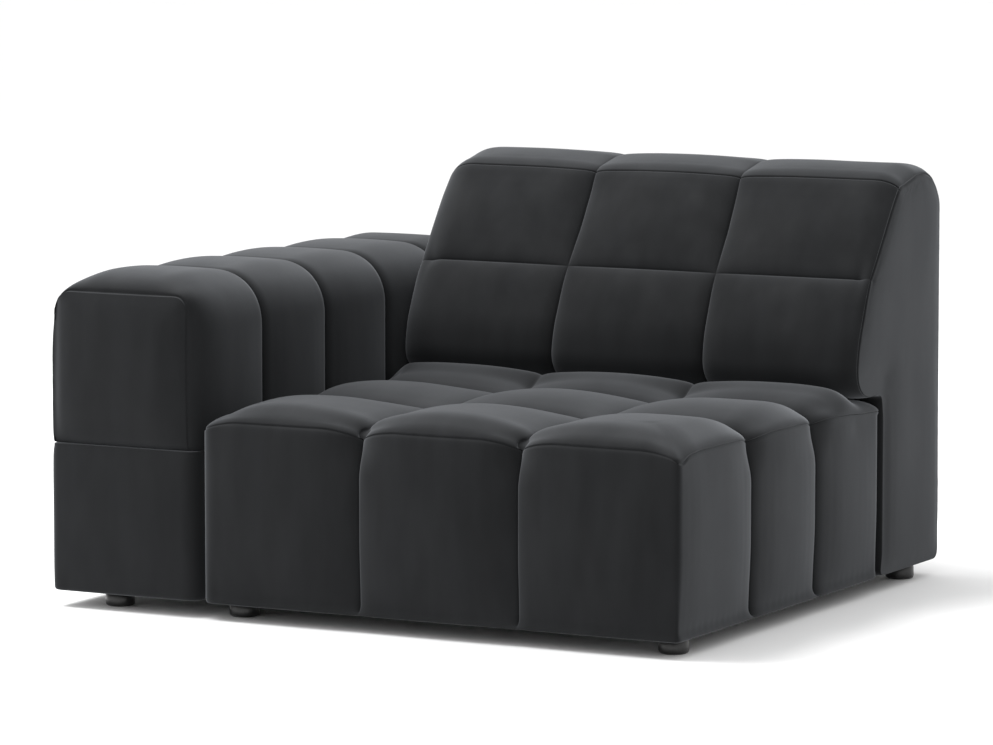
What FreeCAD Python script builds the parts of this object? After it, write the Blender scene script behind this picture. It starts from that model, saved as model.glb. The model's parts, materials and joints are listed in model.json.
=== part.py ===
import FreeCAD, Part
import math
import os

# A left-armed modular sofa unit. Three upholstered modules, the arm, the seat and the back, are bolted
# together. Each is a timber frame under foam, cell or channel pads and a fabric cover. Millimetres, +Z up,
# +X to the open side, -Y to the front, with the origin on the floor under the middle of the outer box.

Vector = FreeCAD.Vector

# ---------------------------------------------------------------- overall size
overall_width = 1240.0
overall_depth = 1090.0
overall_height = 765.0
foot_height = 30.0
cover_drop = 1.0               # how far the covers hang below the top of the feet

# ---------------------------------------------------------------- sheet, board and gap sizes
fabric = 2.0
dust_sheet = 1.0
clearance = 0.3
module_gap = 1.0
pad_gap = 8.0                  # between neighbouring pads, under a sewn crease
plywood = 18.0
base_plywood = 16.0
fibreboard = 3.0
batten_height = 25.0
batten_width = 80.0
post_width = 40.0
rail_depth = 45.0
rail_height = 60.0

# ---------------------------------------------------------------- arm
arm_width = 311.0
arm_height = 590.0
arm_front_setback = 5.0
arm_rear_setback = 2.0
arm_band_height = 293.0        # the horizontal seam between the channelled part and the base band
arm_crown_radius = 70.0
arm_end_radius = 18.0
arm_pad = 30.0
arm_base_inset = 1.0
arm_base_inner_inset = 9.0
arm_first_channel = 210.0
arm_channel_pitch = 224.0
arm_channels = 5
arm_top_foam = 40.0

# ---------------------------------------------------------------- seat
seat_height = 390.0
seat_seam_drop = 50.0          # from the crown of the seat to the seam round its top cover
seat_edge_radius = 32.0        # also the thickness of the front and side pads
seat_columns = 3
seat_column_pitch = 306.0
seat_side_crown = 12.0
seat_rows = 3
seat_row_pitch = 268.0
seat_front_crown = 21.0
seat_pad = 48.0
seat_board_height = 165.0

# ---------------------------------------------------------------- springs
spring_count = 6
spring_wire = 3.8
spring_loop_pitch = 43.0
spring_run = 30.0
clip_sheet = 2.0
clip_width = 24.0
clip_depth = 18.0
felt = 4.0

# ---------------------------------------------------------------- back
back_base_depth = 263.0
back_side_setback = 2.0
back_pad = 32.0
back_side_foam = 12.0
nose_drop = 32.0               # from the crown of the seat down to the underside of the nose
nose_reach = 125.0             # how far the nose stands in front of the base
nose_radius = 28.0
nose_gap = 7.0                 # between the front of the nose and the step in the seat
nose_rise = 102.0              # from the underside of the nose to where the front starts to lean
nose_setback = 11.0
back_row_rise = 208.0          # from the underside of the nose to the seam between the rows
back_row_setback = 55.0
back_front_radius = 300.0
back_brow_drop = 17.0
back_brow_setback = 188.0
back_brow_radius = 50.0
back_crest_setback = 273.0
back_rear_radius = 55.0
back_top_seam_drop = 43.0
strap_width = 60.0
straps_per_bay = 2

# ---------------------------------------------------------------- fasteners and feet
foot_radius = 26.0
foot_edge = 3.0
foot_inset = 75.0              # from the front or rear of the outer box
arm_foot_inset = 100.0
side_foot_inset = 46.0
seat_left_foot_inset = 44.0
stud_radius = 4.0
stud_bottom = 12.0
insert_radius = 6.0
insert_length = 15.0
bolt_length = 100.0
bolt_head_height = 5.3
bolt_head_across = 13.0
washer_radius = 12.0
washer_sheet = 2.0
nut_radius = 5.0
nut_length = 12.0
nut_flange_radius = 11.0
nut_flange = 1.5
thread_gap = 0.1
bolt_height = 130.0
arm_bolt_inset = 105.0         # from the seat's front board to the first bolt into the arm
post_bolt_gap = 9.0            # between the last washer and the rear corner post

# ---------------------------------------------------------------- derived places
tiny = 0.01
far = 3000.0
corner_share = 0.49
left = -overall_width / 2
right = overall_width / 2
front = -overall_depth / 2
rear = overall_depth / 2
cover_bottom = foot_height - cover_drop
frame_bottom = foot_height + dust_sheet
skin = fabric + clearance
seat_left = left + arm_width + module_gap
base_front = rear - back_base_depth
seat_rear = base_front - module_gap
back_right = right - back_side_setback
nose_front = base_front - nose_reach
nose_underside = seat_height - nose_drop
seat_seam_height = seat_height - seat_seam_drop
back_row_height = nose_underside + back_row_rise
back_top_seam_height = overall_height - back_top_seam_drop
column_creases = [right - seat_side_crown - seat_column_pitch * (seat_columns - 1 - i)
                  for i in range(seat_columns - 1)]
row_creases = [front + seat_front_crown + seat_row_pitch * (i + 1) for i in range(seat_rows - 1)]
arm_creases = [front + arm_front_setback + arm_first_channel + arm_channel_pitch * i
               for i in range(arm_channels - 1)]
first_arm_bolt = front + seat_edge_radius + plywood + arm_bolt_inset
last_arm_bolt = seat_rear - skin - plywood - post_width - post_bolt_gap - washer_radius
arm_bolt_places = [first_arm_bolt, (first_arm_bolt + last_arm_bolt) / 2, last_arm_bolt]

nodes = {}


def keep(name, *solids):
    """Files solids under the name of their node."""
    nodes.setdefault(name, []).extend(solids)


def block(x, y, z):
    """A box from a (low, high) pair on each axis."""
    return Part.makeBox(x[1] - x[0], y[1] - y[0], z[1] - z[0], Vector(x[0], y[0], z[0]))


def beyond(axis, low=-far, high=far):
    """Everything between two places along one axis."""
    spans = {name: (-far, far) for name in "xyz"}
    spans[axis] = (low, high)
    return block(spans["x"], spans["y"], spans["z"])


def round_edges(body, radius, chosen):
    """Fillets the edges whose box passes the test."""
    return body.makeFillet(radius, [edge for edge in body.Edges if chosen(edge.BoundBox)])


def rod(centre, direction, radius, length):
    return Part.makeCylinder(radius, length, Vector(*centre), direction)


def spans(creases, low=-far, high=far, gap=pad_gap):
    """The stretches between neighbouring creases, with half the gap left at each crease."""
    starts = [low] + [crease + gap / 2 for crease in creases]
    ends = [crease - gap / 2 for crease in creases] + [high]
    return list(zip(starts, ends))


def spread(low, high, count):
    """Evenly spaced places, with half a step at each end."""
    step = (high - low) / count
    return [low + step * (i + 0.5) for i in range(count)]


def drill(names, hole):
    """Cuts one hole through every solid of the nodes named."""
    for name in names:
        nodes[name] = [solid.cut(hole) for solid in nodes[name]]


# ---------------------------------------------------------------- outer shapes
def arm_envelope(inset, bottom=arm_band_height):
    """The channelled part of the arm, each face moved inwards by the inset."""
    x = (left + inset, left + arm_width - inset)
    y = (front + arm_front_setback + inset, rear - arm_rear_setback - inset)
    z = (bottom, arm_height - inset)
    body = block(x, y, z)
    body = round_edges(body, arm_crown_radius - inset,
                       lambda box: box.ZMin > z[1] - tiny and box.YLength > tiny)
    return round_edges(body, arm_end_radius - inset,
                       lambda box: box.YLength < tiny and box.ZMax > z[0] + tiny)


def arm_base_envelope(inset, z):
    """The base band of the arm between two heights."""
    inset = inset + arm_base_inset
    x = (left + inset, left + arm_width - arm_base_inner_inset + arm_base_inset - inset)
    y = (front + arm_front_setback + inset, rear - arm_rear_setback - inset)
    return round_edges(block(x, y, z), arm_end_radius - inset, lambda box: box.ZLength > tiny)


def seat_envelope(inset, bottom=cover_bottom):
    """The seat, rounded but at its bottom and where the arm and back meet, and low under the nose."""
    x = (seat_left + inset, right - inset)
    y = (front + inset, seat_rear - inset)
    z = (bottom, seat_height - inset)

    def rounded(box):
        at_bottom = box.ZMax < z[0] + tiny
        in_corner = box.ZLength > tiny and box.XMax < x[0] + tiny and box.YMin > y[1] - tiny
        return not at_bottom and not in_corner

    body = round_edges(block(x, y, z), seat_edge_radius - inset, rounded)
    relief = block((-far, far), (nose_front - nose_gap - inset, far),
                   (nose_underside - module_gap - inset, far))
    return body.cut(relief)


def inset_corners(corners, inset):
    """Moves each side of an outline (y, z, radius), listed clockwise, inwards by the inset."""
    moved = []
    count = len(corners)
    for i, (y, z, radius) in enumerate(corners):
        here = Vector(y, z, 0)
        before = here - Vector(*corners[i - 1][:2], 0)
        after = Vector(*corners[(i + 1) % count][:2], 0) - here
        before.normalize()
        after.normalize()
        turn = before.x * after.y - before.y * after.x
        shift = (Vector(before.y, -before.x, 0) + Vector(after.y, -after.x, 0)) * inset
        shift = shift * (1 / (1 + before.dot(after)))
        # a clockwise outline turns right (turn < 0) at its convex corners
        fitted = max(radius - inset, 0.0) if turn < 0 else 0.0
        moved.append((here.x + shift.x, here.y + shift.y, fitted))
    return moved


def outline_face(corners, x):
    """A face across X from corners (y, z, radius), with an arc at each corner that has a radius.

    An arc takes at most just under half of each side that it joins."""
    count = len(corners)
    edges = []
    ends = []
    for i, (y, z, radius) in enumerate(corners):
        here = Vector(x, y, z)
        to_last = Vector(x, *corners[i - 1][:2]) - here
        to_next = Vector(x, *corners[(i + 1) % count][:2]) - here
        room = corner_share * min(to_last.Length, to_next.Length)
        to_last.normalize()
        to_next.normalize()
        half = to_last.getAngle(to_next) / 2
        if radius < tiny:
            ends.append((here, here))
            continue
        reach = min(radius / math.tan(half), room)
        radius = reach * math.tan(half)
        inward = to_last + to_next
        inward.normalize()
        middle = here + inward * (radius / math.sin(half) - radius)
        start = here + to_last * reach
        end = here + to_next * reach
        ends.append((start, end))
        edges.append(Part.Arc(start, middle, end).toShape())
    for i in range(count):
        edges.append(Part.LineSegment(ends[i - 1][1], ends[i][0]).toShape())
    return Part.Face(Part.Wire(Part.__sortEdges__(edges)))


def back_envelope(inset, bottom=cover_bottom, side=None):
    """The back, extruded from its side profile: a base, a nose over the seat and a leaning front."""
    side = inset if side is None else side
    floor = bottom - inset
    corners = [
        (base_front, floor, 0),
        (base_front, nose_underside, 0),
        (nose_front, nose_underside, nose_radius + fabric),
        (nose_front + nose_setback, nose_underside + nose_rise, back_front_radius),
        (nose_front + back_row_setback, back_row_height, back_front_radius),
        (nose_front + back_brow_setback, overall_height - back_brow_drop, back_brow_radius),
        (nose_front + back_crest_setback, overall_height, back_brow_radius),
        (rear, overall_height, back_rear_radius),
        (rear, floor, 0),
    ]
    face = outline_face(inset_corners(corners, inset), seat_left + side)
    return face.extrude(Vector(back_right - seat_left - 2 * side, 0, 0))


# ---------------------------------------------------------------- arm
def make_arm():
    x = (left + arm_pad, left + arm_width - arm_pad)
    y = (front + arm_front_setback + arm_pad, rear - arm_rear_setback - arm_pad)
    top = arm_height - arm_pad
    board_bottom = frame_bottom + base_plywood
    board_top = top - arm_top_foam - base_plywood
    panel_x = (x[0] + fibreboard, x[1] - fibreboard)
    keep("arm_bottom_board", block(x, y, (frame_bottom, board_bottom)))
    keep("arm_top_board", block(x, y, (board_top, board_top + base_plywood)))
    keep("arm_side_panels", block((x[0], panel_x[0]), y, (board_bottom, board_top)))
    keep("arm_side_panels", block((panel_x[1], x[1]), y, (board_bottom, board_top)))
    keep("arm_end_boards", block(panel_x, (y[0], y[0] + plywood), (board_bottom, board_top)))
    keep("arm_end_boards", block(panel_x, (y[1] - plywood, y[1]), (board_bottom, board_top)))
    rail = block((panel_x[1] - rail_depth, panel_x[1]), (y[0] + plywood, y[1] - plywood),
                 (bolt_height - rail_height / 2, bolt_height + rail_height / 2))
    keep("arm_joining_rail", rail)
    for bolt, beyond_it in zip(arm_bolt_places, arm_bolt_places[1:] + [y[1]]):
        middle = (bolt + beyond_it) / 2
        rib = block(panel_x, (middle - plywood / 2, middle + plywood / 2), (board_bottom, board_top))
        keep("arm_ribs", rib.cut(rail))
    keep("arm_top_foam", block(x, y, (board_top + base_plywood, top)))

    padding = arm_envelope(skin)
    keep("arm_end_foams", padding.common(beyond("y", high=y[0])), padding.common(beyond("y", low=y[1])))
    for low, high in spans(arm_creases, y[0], y[1]):
        channel = padding.common(beyond("y", low, high))
        side = channel.common(beyond("z", high=top))
        keep("arm_top_pads", channel.common(beyond("z", low=top)))
        keep("arm_outer_pads", side.common(beyond("x", high=x[0])))
        keep("arm_inner_pads", side.common(beyond("x", low=x[1])))
    base = arm_base_envelope(skin, (frame_bottom, arm_band_height))
    middle = base.common(beyond("y", y[0], y[1]))
    keep("arm_base_foam", base.common(beyond("y", high=y[0])), base.common(beyond("y", low=y[1])),
         middle.common(beyond("x", high=x[0])), middle.common(beyond("x", low=x[1])))

    shell = arm_envelope(0).cut(arm_envelope(fabric, arm_band_height - fabric))
    seam_front = front + arm_front_setback + arm_end_radius
    seam_rear = rear - arm_rear_setback - arm_end_radius
    keep("arm_end_covers", shell.common(beyond("y", high=seam_front)))
    keep("arm_channel_cover", shell.common(beyond("y", seam_front, seam_rear)))
    keep("arm_end_covers", shell.common(beyond("y", low=seam_rear)))
    band = arm_base_envelope(0, (cover_bottom, arm_band_height))
    keep("arm_base_cover", band.cut(arm_base_envelope(fabric, (0, far))))
    keep("arm_dust_cover", arm_base_envelope(skin, (foot_height, frame_bottom)))


# ---------------------------------------------------------------- seat
def make_spring(x, y, z):
    """One zigzag spring: straight runs along X joined by half circles, from y[0] to y[1]."""
    loops = round((y[1] - y[0]) / spring_loop_pitch)
    pitch = (y[1] - y[0]) / loops
    edges = []
    for i in range(loops + 1):
        way = 1 if i % 2 == 0 else -1
        place = y[0] + pitch * i
        start = Vector(x - way * spring_run / 2, place, z)
        end = Vector(x + way * spring_run / 2, place, z)
        edges.append(Part.LineSegment(start, end).toShape())
        if i < loops:
            bulge = Vector(end.x + way * pitch / 2, place + pitch / 2, z)
            turned = Vector(end.x, place + pitch, z)
            edges.append(Part.Arc(end, bulge, turned).toShape())
    path = Part.Wire(edges)
    start = Vector(x - spring_run / 2, y[0], z)
    section = Part.Wire(Part.makeCircle(spring_wire / 2, start, Vector(1, 0, 0)))
    return path.makePipeShell([section], True, True)


def make_clip(x, y, z):
    """A clip that holds a spring's end run in a small barrel above its foot plate."""
    bore = spring_wire / 2 + clearance
    barrel = bore + clip_sheet
    half = clip_width / 2
    plate = block((x - half, x + half), (y - clip_depth / 2, y + clip_depth / 2), (z, z + clip_sheet))
    tube = rod((x - half, y, z + barrel), Vector(1, 0, 0), barrel, clip_width)
    hole = rod((x - half, y, z + barrel), Vector(1, 0, 0), bore, clip_width)
    return plate.fuse(tube).cut(hole).removeSplitter()


def make_seat():
    x = (seat_left + skin, right - seat_edge_radius)
    y = (front + seat_edge_radius, seat_rear - skin)
    board_bottom = frame_bottom + batten_height
    board_top = board_bottom + seat_board_height
    battens = (frame_bottom, board_bottom)
    boards = (board_bottom, board_top)
    inner_x = (x[0] + plywood, x[1] - plywood)
    inner_y = (y[0] + plywood, y[1] - plywood)
    side_y = (y[0] + batten_width, y[1] - batten_width)
    middle = (x[0] + x[1]) / 2
    keep("seat_base_battens",
         block(x, (y[0], side_y[0]), battens),
         block(x, (side_y[1], y[1]), battens),
         block((x[0], x[0] + batten_width), side_y, battens),
         block((middle - batten_width / 2, middle + batten_width / 2), side_y, battens),
         block((x[1] - batten_width, x[1]), side_y, battens))
    keep("seat_front_board", block(x, (y[0], inner_y[0]), boards))
    keep("seat_rear_board", block(x, (inner_y[1], y[1]), boards))
    keep("seat_side_boards", block((x[0], inner_x[0]), inner_y, boards))
    keep("seat_side_boards", block((inner_x[1], x[1]), inner_y, boards))
    for post_x in ((inner_x[0], inner_x[0] + post_width), (inner_x[1] - post_width, inner_x[1])):
        for post_y in ((inner_y[0], inner_y[0] + post_width), (inner_y[1] - post_width, inner_y[1])):
            keep("seat_corner_posts", block(post_x, post_y, boards))

    wire_height = board_top + clip_sheet + spring_wire / 2 + clearance
    clip_y = (y[0] + plywood / 2, y[1] - plywood / 2)
    for place in spread(inner_x[0], inner_x[1], spring_count):
        keep("seat_springs", make_spring(place, clip_y, wire_height))
        for end in clip_y:
            keep("seat_spring_clips", make_clip(place, end, board_top))
    felt_bottom = wire_height + spring_wire / 2 + clearance
    core_bottom = felt_bottom + felt
    core_top = seat_height - seat_pad
    felt_y = (inner_y[0] + clip_sheet, inner_y[1] - clip_sheet)
    keep("seat_spring_felt", block(x, felt_y, (felt_bottom, core_bottom)))
    keep("seat_foam_core", block(x, y, (core_bottom, core_top)))

    padding = seat_envelope(skin).common(beyond("z", low=frame_bottom))
    above = padding.common(beyond("z", low=core_top))
    below = padding.common(beyond("z", high=core_top))
    below = below.cut(block(x, y, (0, far)))
    for column in spans(column_creases):
        strip = above.common(beyond("x", *column))
        for row in spans(row_creases):
            keep("seat_cell_pads", strip.common(beyond("y", *row)))
        keep("seat_front_pads", below.common(beyond("x", *column)).common(beyond("y", high=y[0])))
    for row in spans(row_creases, low=y[0] + clearance):
        keep("seat_side_pads", below.common(beyond("x", low=x[1])).common(beyond("y", *row)))

    shell = seat_envelope(0).cut(seat_envelope(fabric, 0))
    sides = shell.common(beyond("z", high=seat_seam_height))
    hidden = block((-far, right - seat_edge_radius), (front + seat_edge_radius, far), (0, far))
    keep("seat_top_cover", shell.common(beyond("z", low=seat_seam_height)))
    keep("seat_border_cover", sides.cut(hidden))
    keep("seat_plain_cover", sides.common(hidden))
    keep("seat_dust_cover", seat_envelope(skin).common(beyond("z", foot_height, frame_bottom)))


# ---------------------------------------------------------------- back
def make_back():
    frame = back_envelope(back_pad, frame_bottom, back_side_foam)
    x = (seat_left + back_side_foam, back_right - back_side_foam)
    y = (base_front + back_pad, rear - back_pad)
    board_bottom = frame_bottom + batten_height
    base_top = nose_underside - pad_gap
    middle_y = (y[0] + y[1]) / 2
    keep("back_bottom_battens",
         block(x, (y[0], y[0] + batten_width), (frame_bottom, board_bottom)),
         block(x, (y[1] - batten_width, y[1]), (frame_bottom, board_bottom)))

    panel = frame.common(beyond("y", low=y[1] - fibreboard)).common(beyond("z", low=board_bottom))
    base_panel = block(x, (y[0], y[0] + fibreboard), (board_bottom, base_top))
    keep("back_rear_panel", panel)
    keep("back_base_panel", base_panel)
    rail_x = (x[0] + plywood, x[1] - plywood)
    lower_rail = block(rail_x, (y[0] + fibreboard, y[0] + fibreboard + rail_depth),
                       (bolt_height - rail_height / 2, bolt_height + rail_height / 2))
    nose_rail = block(rail_x, (nose_front + back_pad, nose_front + back_pad + rail_depth),
                      (nose_underside + back_pad, nose_underside + back_pad + rail_height))
    brow = nose_front + back_brow_setback
    top_rail = block(rail_x, (brow - rail_depth / 2, brow + rail_depth),
                     (back_top_seam_height - rail_height, back_top_seam_height))
    keep("back_lower_rail", lower_rail)
    keep("back_nose_rail", nose_rail.common(frame))
    keep("back_top_rail", top_rail.common(frame))

    profile = frame.common(beyond("z", low=board_bottom)).cut(panel).cut(base_panel)
    keep("back_side_ribs", profile.common(beyond("x", high=rail_x[0])))
    keep("back_side_ribs", profile.common(beyond("x", low=rail_x[1])))
    for crease in column_creases:
        rib = profile.common(beyond("x", crease - plywood / 2, crease + plywood / 2))
        for rail in (lower_rail, nose_rail, top_rail):
            rib = rib.cut(rail)
        keep("back_middle_ribs", rib)

    strap_layer = back_envelope(back_pad - fabric, 0).cut(back_envelope(back_pad - clearance, 0, 0))
    strap_layer = strap_layer.common(beyond("y", high=middle_y)).common(
        beyond("z", nose_underside + back_pad + nose_radius, back_top_seam_height))
    bay_ends = [rail_x[0]] + column_creases + [rail_x[1]]
    for low, high in zip(bay_ends, bay_ends[1:]):
        for middle in spread(low, high, straps_per_bay):
            strap = strap_layer.common(beyond("x", middle - strap_width / 2, middle + strap_width / 2))
            keep("back_webbing", strap)

    padding = back_envelope(skin, 0, back_side_foam).cut(back_envelope(back_pad - skin, 0, 0))
    padding = padding.common(beyond("z", low=frame_bottom))
    leaning = padding.common(beyond("y", high=y[1]))
    base_end = nose_underside - clearance
    for column in spans(column_creases):
        strip = leaning.common(beyond("x", *column))
        cell_strip = strip.common(beyond("y", high=middle_y))
        lower_row = beyond("z", nose_underside + clearance, back_row_height - pad_gap / 2)
        upper_row = beyond("z", back_row_height + pad_gap / 2, back_top_seam_height - clearance)
        keep("back_cell_pads", cell_strip.common(lower_row), cell_strip.common(upper_row))
        keep("back_top_pads", strip.common(beyond("z", low=back_top_seam_height)))
    keep("back_rear_foam", padding.common(beyond("y", low=y[1])))
    keep("back_base_foam", leaning.common(beyond("z", high=base_end)))
    flank = back_envelope(skin, 0).common(beyond("z", low=frame_bottom))
    for side in (flank.common(beyond("x", high=x[0])), flank.common(beyond("x", low=x[1]))):
        keep("back_side_foams", side.common(beyond("z", high=base_end)),
             side.common(beyond("z", low=nose_underside + clearance)))

    shell = back_envelope(0).cut(back_envelope(fabric, 0))
    keep("back_side_covers", shell.common(beyond("x", high=seat_left + fabric)))
    keep("back_side_covers", shell.common(beyond("x", low=back_right - fabric)))
    strip = shell.common(beyond("x", seat_left + fabric, back_right - fabric))
    ahead = strip.common(beyond("y", high=y[1]))
    seam = nose_underside + fabric
    keep("back_base_cover", ahead.common(beyond("z", high=seam)))
    keep("back_front_cover", ahead.common(beyond("z", seam, back_top_seam_height)))
    keep("back_top_cover", ahead.common(beyond("z", low=back_top_seam_height)))
    keep("back_rear_cover", strip.common(beyond("y", low=y[1])))
    keep("back_dust_cover", back_envelope(skin, 0).common(beyond("z", foot_height, frame_bottom)))


# ---------------------------------------------------------------- feet and fasteners
def make_foot(x, y, under):
    """A low round foot on a threaded stud, which screws into an insert in the frame above."""
    up = Vector(0, 0, 1)
    stud_top = frame_bottom + insert_length - dust_sheet
    drill(under, rod((x, y, 0), up, insert_radius, frame_bottom + insert_length))
    hole = rod((x, y, stud_bottom), up, stud_radius + thread_gap, far)
    foot = round_edges(rod((x, y, 0), up, foot_radius, foot_height), foot_edge,
                       lambda box: box.ZMax < tiny)
    keep("feet", foot.cut(hole))
    keep("foot_studs", rod((x, y, stud_bottom), up, stud_radius, stud_top - stud_bottom))
    keep("foot_inserts", rod((x, y, frame_bottom), up, insert_radius, insert_length).cut(hole))


def make_feet():
    ahead = front + foot_inset
    behind = rear - foot_inset
    inner = seat_left + seat_left_foot_inset
    outer = right - side_foot_inset
    for y in (ahead, behind):
        make_foot(left + arm_foot_inset, y, ["arm_bottom_board", "arm_dust_cover"])
    for x in (inner, outer):
        make_foot(x, ahead, ["seat_base_battens", "seat_dust_cover"])
        make_foot(x, behind, ["back_bottom_battens", "back_dust_cover"])


def make_joining_bolt(start, way, rail_end, through):
    """A bolt from a seat board, at start, along way through covers into a rail that ends at rail_end."""
    start = Vector(*start)
    head_at = start - way * (washer_sheet + bolt_head_height)
    drill(through, rod(start - way, way, stud_radius + clearance, bolt_length + nut_flange))
    nut_at = start + way * (rail_end - nut_length)
    drill(through[-1:], rod(nut_at, way, nut_radius, nut_length))
    corner = bolt_head_across / math.sqrt(3)
    head = Part.Face(Part.makePolygon(hexagon(head_at, way, corner))).extrude(way * bolt_head_height)
    shank = rod(start - way * washer_sheet, way, stud_radius, bolt_length)
    keep("joining_bolts", head.fuse(shank))
    hole = rod(start - way * far / 2, way, stud_radius + thread_gap, far)
    keep("joining_washers", rod(start - way * washer_sheet, way, washer_radius, washer_sheet).cut(hole))
    flange = rod(nut_at + way * nut_length, way, nut_flange_radius, nut_flange)
    keep("joining_tee_nuts", rod(nut_at, way, nut_radius, nut_length).fuse(flange).cut(hole))


def hexagon(centre, way, corner):
    """The closed corners of a hexagon across a direction in the floor's plane."""
    across = Vector(way.y, way.x, 0)
    turns = [math.radians(60 * i) for i in range(7)]
    return [centre + across * (corner * math.cos(t)) + Vector(0, 0, corner * math.sin(t)) for t in turns]


def make_joints():
    """Bolts from inside the seat into the arm's and the back's rails."""
    board_x = seat_left + skin + plywood
    arm_rail_end = left + arm_width - arm_pad - fibreboard - rail_depth
    for y in arm_bolt_places:
        make_joining_bolt((board_x, y, bolt_height), Vector(-1, 0, 0), board_x - arm_rail_end,
                          ["seat_side_boards", "seat_plain_cover", "arm_base_cover", "arm_base_foam",
                           "arm_side_panels", "arm_joining_rail"])
    board_y = seat_rear - skin - plywood
    back_rail_end = base_front + back_pad + fibreboard + rail_depth
    for low, high in spans(column_creases, seat_left, back_right):
        x = (low + high) / 2
        make_joining_bolt((x, board_y, bolt_height), Vector(0, 1, 0), back_rail_end - board_y,
                          ["seat_rear_board", "seat_plain_cover", "back_base_cover", "back_base_foam",
                           "back_base_panel", "back_lower_rail"])


def write_parts():
    os.makedirs("parts", exist_ok=True)
    for name, solids in sorted(nodes.items()):
        pieces = [piece for solid in solids for piece in solid.Solids]
        shape = pieces[0] if len(pieces) == 1 else Part.makeCompound(pieces)
        shape.exportStep("parts/" + name + ".step")
        print(name, len(pieces), "solids")


make_arm()
make_seat()
make_back()
make_feet()
make_joints()
write_parts()
print(len(nodes), "nodes")
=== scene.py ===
import json
import math

import bpy
import numpy as np
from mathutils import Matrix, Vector
from mathutils.kdtree import KDTree


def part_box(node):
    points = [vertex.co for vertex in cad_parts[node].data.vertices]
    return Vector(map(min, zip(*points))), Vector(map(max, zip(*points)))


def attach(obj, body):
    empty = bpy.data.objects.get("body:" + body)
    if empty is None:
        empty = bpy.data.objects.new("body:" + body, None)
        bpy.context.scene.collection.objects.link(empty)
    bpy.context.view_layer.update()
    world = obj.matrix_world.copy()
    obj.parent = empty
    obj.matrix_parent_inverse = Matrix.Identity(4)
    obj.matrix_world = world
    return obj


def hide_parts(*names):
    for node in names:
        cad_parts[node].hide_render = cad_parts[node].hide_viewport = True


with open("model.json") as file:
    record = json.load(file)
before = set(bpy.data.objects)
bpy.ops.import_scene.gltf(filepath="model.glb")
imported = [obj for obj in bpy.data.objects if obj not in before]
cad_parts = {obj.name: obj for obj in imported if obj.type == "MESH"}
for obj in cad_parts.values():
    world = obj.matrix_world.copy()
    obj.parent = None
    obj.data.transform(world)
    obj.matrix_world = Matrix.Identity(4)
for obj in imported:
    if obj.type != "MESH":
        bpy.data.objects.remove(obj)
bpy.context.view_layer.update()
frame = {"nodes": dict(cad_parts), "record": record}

MM = 0.001


def mm(*values):
    return tuple(value * MM for value in values)


# ---------------------------------------------------------------- mesh lines and shells

COARSE = {"step": 15 * MM, "fine": 6 * MM}
LINE_SAMPLES = 500
FILLET_SPACING = SMALLEST_RADIUS = 0.5 * MM


def gathered(low, high, marks=(), step=9 * MM, fine=1.3 * MM, growth=0.3):
    """Values from low to high, through every mark, closer together near the marks."""
    stops = sorted({low, high, *marks})
    values = [low]
    for start, end in zip(stops, stops[1:]):
        t = np.linspace(start, end, LINE_SAMPLES)
        spacing = np.full(len(t), step)
        for mark in marks:
            spacing = np.minimum(spacing, fine + growth * abs(t - mark))
        density = 2 / (spacing[1:] + spacing[:-1])
        measure = np.concatenate([[0], np.cumsum(np.diff(t) * density)])
        count = max(1, round(measure[-1]))
        values.extend(np.interp(np.linspace(0, measure[-1], count + 1)[1:], measure, t))
    return np.array(values)


def fillet(corners):
    """A closed line through (u, v, radius) corners, rounded, and the number of each corner's middle point."""
    points, middles = [], []
    total = len(corners)
    for i in range(total):
        before, here, after = (np.array(corners[(i + k) % total][:2]) for k in (-1, 0, 1))
        radius = max(corners[i][2], SMALLEST_RADIUS)
        to_before = (before - here) / np.linalg.norm(before - here)
        to_after = (after - here) / np.linalg.norm(after - here)
        half = math.acos(np.clip(to_before @ to_after, -1, 1)) / 2
        setback = radius / math.tan(half)
        start, end = here + to_before * setback, here + to_after * setback
        bisector = (to_before + to_after) / np.linalg.norm(to_before + to_after)
        centre = here + bisector * radius / math.sin(half)
        first, last = start - centre, end - centre
        angle = math.pi - 2 * half
        steps = max(4, int(radius * angle / FILLET_SPACING))
        middles.append(len(points) + steps // 2)
        for k in range(steps + 1):
            t = k / steps
            mix = math.sin((1 - t) * angle) * first + math.sin(t * angle) * last
            points.append(centre + mix / math.sin(angle))
    return np.array(points), middles


def arc_lengths(points):
    """How far along its closed line each point is, and the whole length last."""
    ring = np.vstack([points, points[:1]])
    return np.concatenate([[0], np.cumsum(np.linalg.norm(np.diff(ring, axis=0), axis=1))])


def along(points, lengths, wanted):
    """Points of a closed line at the wanted arc lengths."""
    ring = np.vstack([points, points[:1]])
    wanted = np.mod(wanted, lengths[-1])
    return np.column_stack([np.interp(wanted, lengths, ring[:, k]) for k in (0, 1)])


def normals_of(points, quads):
    corners = points[quads]
    face = np.cross(corners[:, 2] - corners[:, 0], corners[:, 3] - corners[:, 1])
    total = np.zeros_like(points)
    for k in range(4):
        np.add.at(total, quads[:, k], face)
    return total / np.maximum(np.linalg.norm(total, axis=1), 1e-12)[:, None]


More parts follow.
